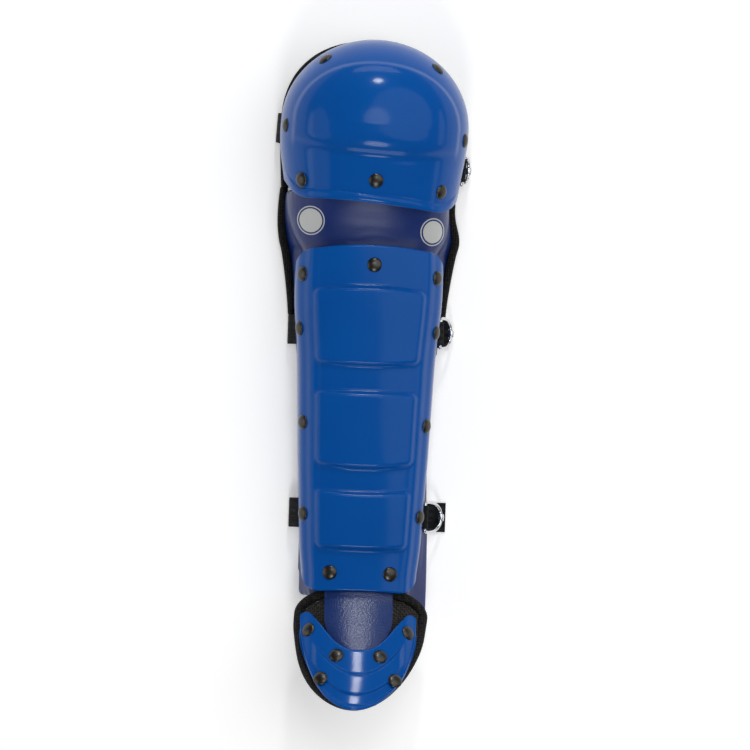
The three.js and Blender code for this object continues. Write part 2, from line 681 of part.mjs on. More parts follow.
for (const place of fastenings) {
  const rim = place.knee ? kneeRim : shinRim;
  const part = (kind) => (place.knee ? `knee_${kind}` : `shin_${kind}_${place.name}`);
  const holes = place.knee ? kneeHoles : shinHoles;
  const hookEye = wire / 2 + gap + 1.6;
  const placeAt = (share) => (place.knee ? kneeMid - share * (kneeMid - kneeLip)
    : shinTop - share * shinLong);
  const sideAt = place.knee ? kneeHalfAt : shinHalfAt;
  const left = placeAt(place.left);
  const right = placeAt(place.right);
  const leftX = -sideAt(left) - place.leftOut;
  const hookX = sideAt(right) + place.rightOut - wire / 2;
  const hookZ = webThick + gap + hookEye;
  const strapEnd = hookX + 4;

  // Strap: down the left side, round under the pad and across the floor to the right.
  const strap = webbing(place, -1, left, webWide, [
    { y: left, outer: [leftX, bendHigh], inner: [leftX + webThick, bendHigh] },
    { y: left, outer: [leftX, 0], inner: [leftX + webThick, webThick] },
    { y: right, outer: [strapEnd, 0], inner: [strapEnd, webThick] },
  ]);
  add(part('strap'), drilled(strap, holes), 'webbing');

  // Tab: down the right side to an eye round the ring's straight bar.
  const eye = wire / 2 + gap + webThick;
  const eyeX = sideAt(right) + (place.knee ? 1 : 1.8);
  const eyeZ = rim - 1.4 - eye;
  const tabEnd = { y: right, outer: [eyeX + 1, eyeZ], inner: [eyeX - 1, eyeZ] };
  const across = (x, z, wide, radius) => bar(
    [x, right - wide / 2, z], [x, right + wide / 2, z], radius, 12);
  const tab = toBody(webbing(place, 1, right, tabWide, [tabEnd]))
    .add(across(eyeX, eyeZ, tabWide, eye))
    .subtract(across(eyeX, eyeZ, tabWide + 4, wire / 2 + gap));
  add(part('tab'), toGeometry(holes.reduce((b, hole) => b.subtract(hole), tab)), 'webbing');

  // Hook: an eye round the ring's outer bar on a foot that stands on the strap.
  const foot = primitive(new THREE.BoxGeometry(6, 10, 1.6));
  const hook = across(hookX, hookZ, 10, hookEye)
    .add(foot.translate([hookX, right, webThick + gap + 0.8]))
    .subtract(across(hookX, hookZ, 14, wire / 2 + gap));
  add(part('hook'), toGeometry(hook), 'rivet');

  // Ring: a D in the plane of its two bars.
  const span = Math.hypot(hookX - eyeX, hookZ - eyeZ);
  const dir = [(hookX - eyeX) / span, (hookZ - eyeZ) / span];
  const half = tabWide / 2 + gap + wire / 2 + 0.5;
  const shape = [[0, -half], [0, half], [0.3, half + 0.3], [0.62, half - 0.8], [0.87, half - 4],
    [1, 5.6], [1, -5.6], [0.87, 4 - half], [0.62, 0.8 - half], [0.3, -half - 0.3]];
  const path = shape.map(([s, v]) => [eyeX + dir[0] * span * s, right + v,
    eyeZ + dir[1] * span * s]);
  const flat = new THREE.Vector3(-dir[1], 0, dir[0]);
  add(part('ring'), bead(path, wire, wire, flat, true), 'bright');
}

// The origin goes to the middle of the underside.
const box = new THREE.Box3().setFromObject(group);
for (const mesh of group.children) {
  mesh.geometry.translate(-(box.min.x + box.max.x) / 2, -(box.min.y + box.max.y) / 2, -box.min.z);
}

export default group;
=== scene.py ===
"""Looks of a baseball catcher's leg guard that lies on its back on its three straps.

Lengths in the tables are millimetres in the frame of the CAD part: +Z out of the front of the
guard, +Y toward the knee, +X the side that carries the rings. MM turns them into metres.
"""

import math

import bmesh
import bpy
from mathutils import Matrix, Vector


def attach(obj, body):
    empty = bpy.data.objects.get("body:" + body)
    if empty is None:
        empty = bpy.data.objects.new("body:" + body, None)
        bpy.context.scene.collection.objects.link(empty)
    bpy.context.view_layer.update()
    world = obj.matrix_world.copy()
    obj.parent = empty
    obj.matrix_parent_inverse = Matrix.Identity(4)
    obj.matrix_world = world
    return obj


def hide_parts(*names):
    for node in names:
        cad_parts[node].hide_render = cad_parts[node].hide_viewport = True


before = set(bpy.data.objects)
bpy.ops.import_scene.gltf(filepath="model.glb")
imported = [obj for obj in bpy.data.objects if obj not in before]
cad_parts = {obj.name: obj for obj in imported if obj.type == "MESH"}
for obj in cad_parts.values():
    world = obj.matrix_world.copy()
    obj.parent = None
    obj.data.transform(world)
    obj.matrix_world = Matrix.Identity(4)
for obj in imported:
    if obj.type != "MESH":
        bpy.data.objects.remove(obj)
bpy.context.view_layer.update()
MM = 0.001

# Sizes. Those of the shells, pads and straps are the part source's. Rivets, rings, hooks, tabs and
# bound edges are a little finer or wider than there.
WALL = 3.0
GAP = 0.3
WEB_THICK = 2.0
WEB_WIDE = 25.0
TAB_WIDE = 20.0
BEHIND = WALL + WEB_THICK + 3 * GAP
PAD_THICK = 11.0
FOOT_PAD_THICK = 8.0
TONGUE_THICK = 3.6
FLOOR_LIFT = WEB_THICK + GAP
KNEE_HALF = 80.0
KNEE_TOP = 286.0
KNEE_MID = 212.0
KNEE_LIP = 146.0
KNEE_PEAK = 109.0
KNEE_RIM = 30.0
KNEE_END = KNEE_TOP - KNEE_MID
KNEE_ROUND = 2.3
# Step ridge of the cap, and the rolled lip: its height, place and half width
RIDGE_HIGH = 3.0
LIP_HIGH = 2.4
LIP_PLACE = 3.4
LIP_HALF = 3.9
# Lower ends of the knee pad and of its bound edge
KNEE_PAD_LOW = KNEE_LIP + 7.5
KNEE_EDGE_LOW = KNEE_LIP + 10
# The cap's lower left side is drawn in by this share
KNEE_DRAWN_IN = 0.045
# How far the knee pad's rim shows past the cap, and where on its round end
PEEK = 3.4
PEEK_ANGLE = math.radians(138)
LEAN = math.radians(-3)
LEAN_CENTRE = 200.0
SHIN_HALF = 63.0
SHIN_TOP = 111.0
SHIN_LONG = 296.0
SHIN_BOTTOM = SHIN_TOP - SHIN_LONG
SHIN_FRONT = 75.0
SHIN_RIM = 28.0
TOP_CORNER = 17.0
LOW_CORNER = 15.0
PANEL_WIDE = 0.78
PANEL_HIGH = 4.5
PANEL_CORNER = 6.5
PANEL_STEP = 4.6
# The shin shell's edge line swells, then dips where its front turns into the side wall
CORNER_SWELL = 1.1
CORNER_DIP = -1.6
# The shin shell's lower edge bows up in its middle, its upper edge falls toward the corners
LOW_BOW = 2.0
TOP_FALL = 4.0
FOOT_HALF = 49.4
FOOT_MID = -208.0
FOOT_LONG = 77.0
FOOT_HOLLOW = 31.5
HORN_RISE = 6.5
HORN_IN = 45.5
# The foot shell slants, so its wall is this much thicker when it's measured straight down
FOOT_SLANT = 1.155
BAND_HIGH = 2.5
SHOULDER_HIGH = 2.0
# Share of the crescent that is its body, with the round horn tips beyond
FOOT_BODY = 0.88
TOE_ROLL = 1.5
# The toe end of the foot shell lies a little to the left and back toward the knee
TOE_ASIDE = 2.6
TOE_BACK = 2.4
# Half width of the tongue, and its ends below and above the foot shell's middle
TONGUE_HALF = 29.0
TONGUE_END = 27.0
TONGUE_TOP = 40.0
# The tongue's side edges lie this much lower
TONGUE_FALL = 1.2
FOOT_PAD_HALF = 50.2
FOOT_PAD_UP = 20.7
FOOT_PAD_DOWN = 74.2
RIVET_WIDE = 12.4
RIVET_HIGH = 2.3
WIRE = 3.5
RING_WIRE = 2.9
HOOK_LOOP = 2.1
HOOK_WIDE = 6.0
HOOK_WALL = 1.6
# The tab's eye for the ring: how far below the shell's side edge, how far outside the shin shell
EYE_DROP = 1.4
EYE_OUT = 1.8
# The tab is pressed thin where it turns round the ring
TAB_THICK = 1.3
# The outer rows of the shin and foot shells turn down a little, so that their edges are soft
EDGE_DROP = 0.6
# X where each strap ends under its ring
STRAP_ENDS = {"knee": 79.0, "upper": 71.0, "lower": 73.4}
BIND_WIDE = 5.0
BIND_HIGH = 8.0
FOOT_BIND_WIDE = 6.6
FOOT_BIND_HIGH = 9.0
# The skin of the shin pad shrinks a little at its thin rear edges
REAR_EXTRA = 1.0
# How far a bound edge laps over the pad that it holds
LAP = 2.0
# Pads: wall as a share of the thickness, half width of a seam, how high the rear edge is held,
# how hard and how long the cover is blown up, how far from the middle the quilting lines run
PAD_SHARE = 0.85
SEAM = 2.5
HELD_BELOW = 8.0
COVER_PRESSURE = 4
COVER_FRAMES = 20
SHIN_QUILTS = (14, 38)
KNEE_QUILTS = (16, 42)

# Shin shell down its length: place, half width and height of the front, as shares
SHIN_TABLE = [
    (0.0, 1.0, 1.0), (0.16, 1.0, 0.985), (0.32, 0.937, 0.96), (0.45, 0.91, 0.94),
    (0.61, 0.881, 0.91), (0.71, 0.857, 0.88), (0.87, 0.817, 0.83), (0.95, 0.778, 0.81),
    (1.0, 0.77, 0.8)]
# Raised panels: first and last place, how far the upper and the lower edge bow up or down
PANELS = [(0.12, 0.348, 3.8, -2.8), (0.417, 0.64, 0, -4.4), (0.701, 0.878, -3, -1.6)]
# Knee cap below its middle: share of the way to the lip, half width and rise
KNEE_TABLE = [(0.0, 1.0, 1.0), (0.15, 1.0, 0.99), (0.3, 0.99, 0.965), (0.4, 0.982, 0.918),
              (0.5, 0.973, 0.9), (0.7, 0.955, 0.865), (1.0, 0.925, 0.81)]
# Upper face of the foot shell: distance past its middle, height, drop of its sides
FOOT_TABLE = [(-77, 117.5, 20), (-27, 88.5, 19), (-7, 76.5, 18), (8, 67, 16), (22, 59.5, 12),
              (48, 57, 12)]
# Inner edge of the foot shell: distance from the middle, distance past the shell's middle
FOOT_INNER = [(0, -24.2), (9, -23.2), (17.6, -19), (24.5, -12.7), (31, -5.2), (36, 0.2), (39.5, 3)]
# Shin pad: place along the shell, half width, front, roundness, left and right rear edge.
# A width and front of 0 follow the inside of the shell.
PAD_TABLE = [
    (-0.142, 1.11, 1.12, 2.3, 1.11, 1.11), (-0.1, 1.11, 1.06, 2.3, 1.12, 1.12),
    (-0.06, 1.09, 0.98, 2.4, 1.14, 1.14), (-0.017, 1.03, 0.93, 2.5, 1.145, 1.145),
    (0.024, 0, 0, 3, 1.1, 1.1), (0.1, 0, 0, 3, 1.04, 1.04), (0.19, 0, 0, 3, 0.99, 0.99),
    (0.3, 0, 0, 3, 0.96, 0.98), (0.37, 0, 0, 3, 0.88, 0.94), (0.6, 0, 0, 3, 0.83, 0.9),
    (0.73, 0, 0, 3, 0.81, 0.92), (0.86, 0, 0, 3, 0.81, 0.94),
    (0.93, 0.72, 0.62, 3, 0.81, 0.96), (0.97, 0.69, 0.512, 3, 0.81, 0.965),
    (1.044, 0.69, 0.512, 3, 0.81, 0.965)]
PAD_FIRST, PAD_LAST = PAD_TABLE[0][0], PAD_TABLE[-1][0]
# Between these places the pad follows the shell
INSIDE_FROM, INSIDE_TO = 0.024, 0.86
# Straps and rings: name, Y at the left, Y at the right, how far they stand out, on the knee
FASTENINGS = [("knee", 204.5, 181.5, 82.4, 85.7, True), ("upper", 37.3, 38, 66.8, 74.5, False),
              ("lower", -118.6, -119, 60.6, 71.2, False)]
KNEE_RIVETS = [(-48, 264.7), (48, 264.7), (-76.5, 206), (76.5, 206), (-59.6, 160.5),
               (59.6, 160.5), (3, 165)]
SHIN_RIVETS = [(3, 94), (-57, 84.5), (57, 84.5), (-58.3, 38), (58.3, 38), (-52.7, -41.4),
               (52.7, -41.4), (-50, -119), (50, -119), (-25.7, -168), (25.7, -168)]
FOOT_RIVETS = [(-42.3, -217), (42.3, -217), (-18.5, -237.5), (18.5, -237.5), (-31, -258),
               (31, -258)]
# Rivet in section, from the crown to the end of its shank: share of the half width, height
RIVET_SECTION = [(0.0, RIVET_HIGH), (0.3, 0.97 * RIVET_HIGH), (0.6, 0.8 * RIVET_HIGH),
                 (0.82, 0.55 * RIVET_HIGH), (0.95, 0.3 * RIVET_HIGH), (1.0, 0.12 * RIVET_HIGH),
                 (1.0, -0.02), (0.95, -0.3), (0.3, -0.3), (0.3, -4.0), (0.0, -4.0)]
# The foot pad's rim shifts to the left toward the toe: from and to where past the foot shell's
# middle, and how far
RIM_ASIDE = [(5, -12, 1.2), (-12, -40, 1.1), (-15, -72, 3.7)]
# The rim's middle past the pad's outline, its extra shift at the ring side, and how far it is
# drawn back at the toe
RIM_OUT = 3.4
RIM_RING_SIDE = 1.5
RIM_TOE_BACK = 2.6


def mix(a, b, t):
    return a + (b - a) * t


def clamp(value, low=0.0, high=1.0):
    return min(high, max(low, value))


def fade(start, end, value):
    t = clamp((value - start) / (end - start))
    return t * t * (3 - 2 * t)


def look_up(table, place, column):
    """Value of a column at a place, smoothly through the rows of a table."""
    if place <= table[0][0]:
        return table[0][column]
    for i in range(1, len(table)):
        if place <= table[i][0]:
            a, b = table[i - 1], table[i]
            before, after = table[max(0, i - 2)], table[min(len(table) - 1, i + 1)]
            long = b[0] - a[0]
            t = (place - a[0]) / long
            rise_a = long * (b[column] - before[column]) / (b[0] - before[0])
            rise_b = long * (after[column] - a[column]) / (after[0] - a[0])
            return ((2 * t**3 - 3 * t**2 + 1) * a[column] + (t**3 - 2 * t**2 + t) * rise_a
                    + (3 * t**2 - 2 * t**3) * b[column] + (t**3 - t**2) * rise_b)
    return table[-1][column]


def disc(u, v):
    """Turns a square from -1 to 1 into a disc of radius 1."""
    return u * math.sqrt(1 - v * v / 2), v * math.sqrt(1 - u * u / 2)


def arch(share, roundness):
    """Height of an arch with a rounded-box section above its side edges, as a share."""
    return max(0.0, 1 - abs(share) ** roundness) ** (1 / roundness)


# Forms of the shells

def along_shin(y):
    return (SHIN_TOP - y) / SHIN_LONG


def shin_half(y):
    return SHIN_HALF * look_up(SHIN_TABLE, along_shin(y), 1)


def shin_front(y):
    return SHIN_FRONT * look_up(SHIN_TABLE, along_shin(y), 2)


def shin_panel(x, y):
    """Raised panels with round corners and a soft step."""
    wide = PANEL_WIDE * shin_half(y)
    for start, end, upper, lower in PANELS:
        bow = 1 - min(1, abs(x) / wide) ** 2
        high, low = SHIN_TOP - start * SHIN_LONG, SHIN_TOP - end * SHIN_LONG
        high, low = high + upper * (bow - 0.5), low + lower * (bow - 0.5)
        across = abs(x) - wide + PANEL_CORNER
        down = abs(y - (high + low) / 2) - (high - low) / 2 + PANEL_CORNER
        out = math.hypot(max(across, 0), max(down, 0)) + min(max(across, down), 0)
        out -= PANEL_CORNER
        if out < 0:
            return PANEL_HIGH * fade(0, PANEL_STEP, -out)
    return 0.0


def shin_corner(share):
    """The line where the front turns into the side wall."""
    share = abs(share)
    if share < 0.8:
        return CORNER_SWELL * fade(0.7, 0.8, share)
    dip = mix(CORNER_SWELL, CORNER_DIP, fade(0.8, 0.89, share))
    return mix(dip, 0, fade(0.89, 1, share))


def shin_z(x, y, off=0.0, raised=True):
    share = x / (shin_half(y) - off)
    z = SHIN_RIM + (shin_front(y) - off - SHIN_RIM) * arch(share, 3)
    return z + (shin_panel(x, y) + shin_corner(share) if raised else 0)


def lip_y(x):
    """Lower edge of the knee cap, rounded up at its corners."""
    corner = clamp((abs(x) - 56) / 19)
    return KNEE_LIP - 2 * (x / 62) ** 2 - 0.03 * x + 22 * (1 - math.sqrt(1 - corner**2))


def down_knee(y):
    return (KNEE_MID - y) / (KNEE_MID - KNEE_LIP)


def knee_half(y):
    return KNEE_HALF * look_up(KNEE_TABLE, clamp(down_knee(y)), 1)


def knee_edge(y, off):
    end = max(0.0, y - KNEE_MID) / (KNEE_END - off)
    return (knee_half(y) - off) * math.sqrt(max(0.0, 1 - end * end))


def knee_z(x, y, off=0.0, raised=True):
    end = max(0.0, y - KNEE_MID) / (KNEE_END - off)
    rho = math.hypot(x / (knee_half(y) - off), end)
    crease = 0.17 * min(1, abs(x) / 75) ** 3 if raised else 0
    rise = look_up(KNEE_TABLE, clamp(down_knee(y) + crease * fade(0, 0.4, down_knee(y))), 2)
    z = KNEE_RIM + ((KNEE_PEAK - KNEE_RIM) * rise - off) * arch(rho, KNEE_ROUND)
    if raised:
        foot = mix(0.9, 0.735, (end / rho) ** 2 if rho > 0 else 0)
        z += RIDGE_HIGH * fade(0, 0.045, foot - rho) * fade(0.42, 0.16, down_knee(y))
        d = (y - lip_y(x) - LIP_PLACE) / LIP_HALF
        z += LIP_HIGH * math.sqrt(max(0.0, 1 - d**2)) * fade(1, 0.92, rho)
    return z


def foot_inner(x):
    share = clamp(abs(x) / HORN_IN)
    return FOOT_MID + HORN_RISE - FOOT_HOLLOW * math.cos(math.pi / 2 * share)


def foot_outer(x):
    return FOOT_MID - FOOT_LONG * math.sqrt(1 - clamp(abs(x) / FOOT_HALF) ** 2)


def foot_z(x, y, off=0.0, raised=True):
    past = y - FOOT_MID
    z = (look_up(FOOT_TABLE, past, 1)
         - look_up(FOOT_TABLE, past, 2) * (abs(x) / 50) ** 2.2 - off * FOOT_SLANT)
    if raised:
        across = (foot_inner(x) - y) / max(1, foot_inner(x) - foot_outer(x))
        band = min(fade(0.35, 0.41, across), fade(0.75, 0.7, across))
        side = abs(x) / FOOT_HALF
        z += BAND_HIGH * band * fade(0.8, 0.7, side)
        z += SHOULDER_HIGH * fade(0.35, 0.7, side) * fade(1, 0.76, side)
    return z


def leaning(x, y, z):
    """The knee half leans to the ring side; the pad between knee and shin bends with it."""
    angle = LEAN * fade(SHIN_TOP, KNEE_LIP + 2, y)
    dy = y - LEAN_CENTRE
    return (x * math.cos(angle) - dy * math.sin(angle),
            LEAN_CENTRE + x * math.sin(angle) + dy * math.cos(angle), z)


# Meshes

def grid(columns, rows, place, hint=(0, 0, 1)):
    """A grid whose corner (u, v), each from -1 to 1, goes to place(u, v); it faces `hint`."""
    bm = bmesh.new()
    bmesh.ops.create_grid(bm, x_segments=columns, y_segments=rows, size=1)
    for v in bm.verts:
        v.co = Vector(leaning(*place(v.co.x, v.co.y))) * MM
    bm.normal_update()
    if sum(f.normal.dot(Vector(hint)) * f.calc_area() for f in bm.faces) < 0:
        bmesh.ops.reverse_faces(bm, faces=bm.faces)
    return bm


def closed_grid(columns, rows, place):
    """A grid that closes on itself, welded into one body that faces out."""
    bm = grid(columns, rows, place)
    bmesh.ops.remove_doubles(bm, verts=bm.verts, dist=0.01 * MM)
    bmesh.ops.recalc_face_normals(bm, faces=bm.faces)
    return bm


def pick(rows):
    """Place function that reads a table of points by row and column."""
    last_row, last = len(rows) - 1, len(rows[0]) - 1
    return lambda u, v: rows[round((v + 1) / 2 * last_row)][round((u + 1) / 2 * last)]


def with_lengths(bm, rows):
    """Strip's own map: metres along it and across it."""
    middle = rows[len(rows) // 2]
    along = [0.0]
    for a, b in zip(middle, middle[1:]):
        along.append(along[-1] + (Vector(b) - Vector(a)).length * MM)
    wide = (Vector(rows[-1][0]) - Vector(rows[0][0])).length * MM
    layer = bm.loops.layers.uv.new("strip")
    place = {}
    for i, row in enumerate(rows):
        for j, point in enumerate(row):
            where = tuple(round(c, 1) for c in leaning(*point))
            place[where] = (along[j], wide * i / (len(rows) - 1))
    for face in bm.faces:
        for loop in face.loops:
            where = tuple(round(c / MM, 1) for c in loop.vert.co)
            loop[layer].uv = place.get(where, (0, 0))


def bent(points, radius, steps=5):
    """A path whose corners are rounded."""
    points = [Vector(p) for p in points]
    out = [points[0]]
    for a, b, c in zip(points, points[1:], points[2:]):
        reach = min(radius, (a - b).length * 0.45, (c - b).length * 0.45)
        start = b + (a - b).normalized() * reach
        end = b + (c - b).normalized() * reach
        for k in range(steps + 1):
            t = k / steps
            out.append(start * (1 - t) ** 2 + b * 2 * t * (1 - t) + end * t * t)
    return out + [points[-1]]


def flowing(points, loop=False, steps=6):
    """A smooth curve through all the points."""
    count = len(points)

    def at(i):
        return Vector(points[i % count] if loop else points[int(clamp(i, 0, count - 1))])

    out = []
    for i in range(count if loop else count - 1):
        a, b, c, d = at(i - 1), at(i), at(i + 1), at(i + 2)
        for k in range(steps):
            t = k / steps
            out.append((b * 2 + (c - a) * t + (a * 2 - b * 5 + c * 4 - d) * t * t
                        + (b * 3 - a - c * 3 + d) * t**3) / 2)
    return out if loop else out + [at(count - 1)]


def tube(path, wide, high, up, loop=False, sides=16):
    """A bead with an oval section along a path, round at free ends."""
    count = len(path)
    cap = 0 if loop else 4
    rings = []
    for i in range(-cap, count + cap + (1 if loop else 0)):
        k = i % count if loop else int(clamp(i, 0, count - 1))
        before = path[k - 1] if loop or k else path[0]
        after = path[(k + 1) % count] if loop or k < count - 1 else path[k]
        there = (after - before).normalized()
        side = there.cross(up).normalized()
        top = side.cross(there)
        past = (i - k if i < 0 else i - count + 1 if i >= count and not loop else 0) / max(cap, 1)
        size = math.sqrt(max(0.0, 1 - past * past))
        centre = path[k] + there * past * min(wide, high) / 2
        ring = []
        for j in range(sides + 1):
            a = 2 * math.pi * (j % sides) / sides
            ring.append(centre + side * (math.cos(a) * wide / 2 * size)
                        + top * (math.sin(a) * high / 2 * size))
        rings.append(ring)
    return closed_grid(sides, len(rings) - 1, pick(rings))


def make(name, bm, material, nodes=()):
    mesh = bpy.data.meshes.new(name)
    bm.to_mesh(mesh)
    bm.free()
    for face in mesh.polygons:
        face.use_smooth = True
    thing = bpy.data.objects.new(name, mesh)
    bpy.context.scene.collection.objects.link(thing)
    mesh.materials.append(material)
    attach(thing, "root")
    if nodes:
        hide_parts(*nodes)
    return thing


def thicken(thing, wall, edge=0.0):
    """A wall behind the surface, with softened edges."""
    solid = thing.modifiers.new("wall", "SOLIDIFY")
    solid.thickness = wall * MM
    solid.offset = -1
    if edge:
        bevel = thing.modifiers.new("edge", "BEVEL")
        bevel.width = edge * MM
        bevel.segments = 3
        bevel.limit_method = "ANGLE"
        bevel.angle_limit = math.radians(50)


def settle(thing):
    """The mesh that the modifiers make becomes the piece's own."""
    seen = thing.evaluated_get(bpy.context.evaluated_depsgraph_get())
    mesh = bpy.data.meshes.new_from_object(seen)
    thing.modifiers.clear()
    thing.data = mesh
    for face in mesh.polygons:
        face.use_smooth = True


def puff(thing, voxel, shrink, swell, sewn):
    """Foam in its cover: a voxel skin a little inside the pad, blown up as cloth.

    `sewn` says from a point and its direction how firmly the cover is held there.
    """
    settle(thing)
    inside = [v.co - v.normal * shrink * MM for v in thing.data.vertices]
    for v, place in zip(thing.data.vertices, inside):
        v.co = (place.x, place.y, max(place.z, FLOOR_LIFT * MM))
    skin = thing.modifiers.new("skin", "REMESH")
    skin.mode = "VOXEL"
    skin.voxel_size = voxel * MM
    settle(thing)
    held = thing.vertex_groups.new(name="held")
    for v in thing.data.vertices:
        held.add([v.index], sewn(v.co / MM, v.normal), "REPLACE")
    start = [v.co.copy() for v in thing.data.vertices]
    cloth = thing.modifiers.new("cover", "CLOTH")
    cloth.settings.vertex_group_mass = "held"
    cloth.settings.quality = 5
    cloth.settings.use_pressure = True
    cloth.settings.uniform_pressure_force = COVER_PRESSURE
    cloth.settings.effector_weights.gravity = 0
    scene = bpy.context.scene
    for number in range(1, COVER_FRAMES + 1):
        scene.frame_set(number)
    seen = thing.evaluated_get(bpy.context.evaluated_depsgraph_get())
    blown = [v.co.copy() for v in seen.data.vertices]
    thing.modifiers.clear()
    for v, a, b in zip(thing.data.vertices, start, blown):
        move = b - a
        if move.length > swell * MM:
            move *= swell * MM / move.length
        v.co = a + move
    scene.frame_set(1)
    thing.vertex_groups.clear()
    fine = thing.modifiers.new("fine", "SUBSURF")
    fine.levels = fine.render_levels = 1
    settle(thing)


# Materials

def finish(name, colour, roughness, metallic=0.0):
    """A material and its parts: colour is 0 to 255 as the eye sees it."""
    mat = bpy.data.materials.new(name)
    mat.use_nodes = True
    shader = mat.node_tree.nodes["Principled BSDF"]
    shader.inputs["Base Color"].default_value = linear(colour)
    shader.inputs["Roughness"].default_value = roughness
    shader.inputs["Metallic"].default_value = metallic
    return mat, shader


def linear(colour):
    def one(c):
        c /= 255
        return c / 12.92 if c <= 0.04045 else ((c + 0.055) / 1.055) ** 2.4
    return (*[one(c) for c in colour], 1)


def node(mat, kind, **settings):
    made = mat.node_tree.nodes.new(kind)
    for key, value in settings.items():
        if key in made.inputs:
            made.inputs[key].default_value = value
        else:
            setattr(made, key, value)
    return made


def join(mat, start, end):
    mat.node_tree.links.new(start, end)


def object_place(mat):
    return node(mat, "ShaderNodeTexCoord").outputs["Object"]


def relief(mat, shader, height, distance, strength=1.0):
    bump = node(mat, "ShaderNodeBump", Strength=strength, Distance=distance * MM)
    join(mat, height, bump.inputs["Height"])
    join(mat, bump.outputs["Normal"], shader.inputs["Normal"])


def between(mat, share, low, high):
    """Colour that runs from low to high with a value."""
    ramp = node(mat, "ShaderNodeValToRGB")
    ramp.color_ramp.elements[0].color = linear(low)
    ramp.color_ramp.elements[1].color = linear(high)
    join(mat, share, ramp.inputs["Fac"])
    return ramp


def gloss_shell():
    mat, shader = finish("gloss_shell", (6, 78, 158), 0.38)
    shader.inputs["IOR"].default_value = 1.15
    shader.inputs["Specular Tint"].default_value = (0.2, 0.55, 1, 1)
    shader.inputs["Coat IOR"].default_value = 1.32
    shader.inputs["Coat Weight"].default_value = 0.55
    shader.inputs["Coat Roughness"].default_value = 0.13
    place = object_place(mat)
    cloud = node(mat, "ShaderNodeTexNoise", Scale=14.0, Detail=3.0)
    join(mat, place, cloud.inputs["Vector"])
    tint = between(mat, cloud.outputs["Fac"], (5, 73, 151), (7, 84, 165))
    join(mat, tint.outputs["Color"], shader.inputs["Base Color"])
    peel = node(mat, "ShaderNodeTexNoise", Scale=70.0, Detail=2.0)
    join(mat, place, peel.inputs["Vector"])
    relief(mat, shader, peel.outputs["Fac"], 0.15, 0.3)
    return mat


def grained(name, colour, light, grain, deep, roughness):
    """Coated cloth with a fine leather grain of `grain` pebbles per metre."""
    mat, shader = finish(name, colour, roughness)
    place = object_place(mat)
    cells = node(mat, "ShaderNodeTexVoronoi", Scale=grain, feature="SMOOTH_F1")
    join(mat, place, cells.inputs["Vector"])
    relief(mat, shader, cells.outputs["Distance"], deep, 0.9)
    cloud = node(mat, "ShaderNodeTexNoise", Scale=9.0, Detail=4.0)
    join(mat, place, cloud.inputs["Vector"])
    tint = between(mat, cloud.outputs["Fac"], colour, light)
    join(mat, tint.outputs["Color"], shader.inputs["Base Color"])
    return mat, shader, tint


def roundels(mat, shader, tint, centres, radius):
    """Plain pale discs with a ring round them, printed on the vinyl."""
    place = object_place(mat)
    paint = tint.outputs["Color"]
    for centre in centres:
        spot = node(mat, "ShaderNodeVectorMath", operation="DISTANCE")
        flat = node(mat, "ShaderNodeVectorMath", operation="MULTIPLY")
        flat.inputs[1].default_value = (1, 1, 0.45)
        join(mat, place, flat.inputs[0])
        join(mat, flat.outputs["Vector"], spot.inputs[0])
        spot.inputs[1].default_value = (centre[0] * MM, centre[1] * MM, centre[2] * 0.45 * MM)
        ring = node(mat, "ShaderNodeMapRange")
        ring.inputs["From Max"].default_value = radius * MM
        join(mat, spot.outputs["Value"], ring.inputs["Value"])
        bands = node(mat, "ShaderNodeValToRGB")
        bands.color_ramp.interpolation = "CONSTANT"
        ramp = bands.color_ramp.elements
        ramp[0].color = (1, 1, 1, 1)
        ramp[1].position, ramp[1].color = 0.8, (0, 0, 0, 1)
        for at, value in ((0.9, 1), (0.97, 0)):
            stop = ramp.new(at)
            stop.color = (value, value, value, 1)
        join(mat, ring.outputs["Result"], bands.inputs["Fac"])
        blend = node(mat, "ShaderNodeMix", data_type="RGBA")
        join(mat, bands.outputs["Color"], blend.inputs["Factor"])
        join(mat, paint, blend.inputs[6])
        blend.inputs[7].default_value = linear((196, 198, 196))
        paint = blend.outputs[2]
    join(mat, paint, shader.inputs["Base Color"])


def knit(name, dark, light, holes, deep):
    """Black spacer mesh with small round holes, `holes` per metre."""
    mat, shader = finish(name, dark, 0.9)
    shader.inputs["Specular IOR Level"].default_value = 0.2
    place = object_place(mat)
    cells = node(mat, "ShaderNodeTexVoronoi", Scale=holes, Randomness=0.35)
    join(mat, place, cells.inputs["Vector"])
    tint = between(mat, cells.outputs["Distance"], dark, light)
    tint.color_ramp.elements[0].position = 0.25
    tint.color_ramp.elements[1].position = 0.75
    join(mat, tint.outputs["Color"], shader.inputs["Base Color"])
    relief(mat, shader, cells.outputs["Distance"], deep, 1.0)
    return mat


def webbed(name, dark, light, threads, ribs, deep):
    """Woven strap on its own map, `threads` along it and `ribs` across it per metre."""
    mat, shader = finish(name, dark, 0.8)
    shader.inputs["Specular IOR Level"].default_value = 0.25
    strip = node(mat, "ShaderNodeUVMap", uv_map="strip").outputs["UV"]
    waves = []
    for scale, direction in ((threads, "X"), (ribs, "Y")):
        wave = node(mat, "ShaderNodeTexWave", Scale=scale / 20, bands_direction=direction)
        wave.inputs["Distortion"].default_value = 0.4
        wave.inputs["Detail Scale"].default_value = 30.0
        join(mat, strip, wave.inputs["Vector"])
        waves.append(wave.outputs["Fac"])
    both = node(mat, "ShaderNodeMath", operation="MULTIPLY")
    join(mat, waves[0], both.inputs[0])
    join(mat, waves[1], both.inputs[1])
    tint = between(mat, both.outputs[0], dark, light)
    join(mat, tint.outputs["Color"], shader.inputs["Base Color"])
    relief(mat, shader, both.outputs[0], deep, 0.9)
    return mat


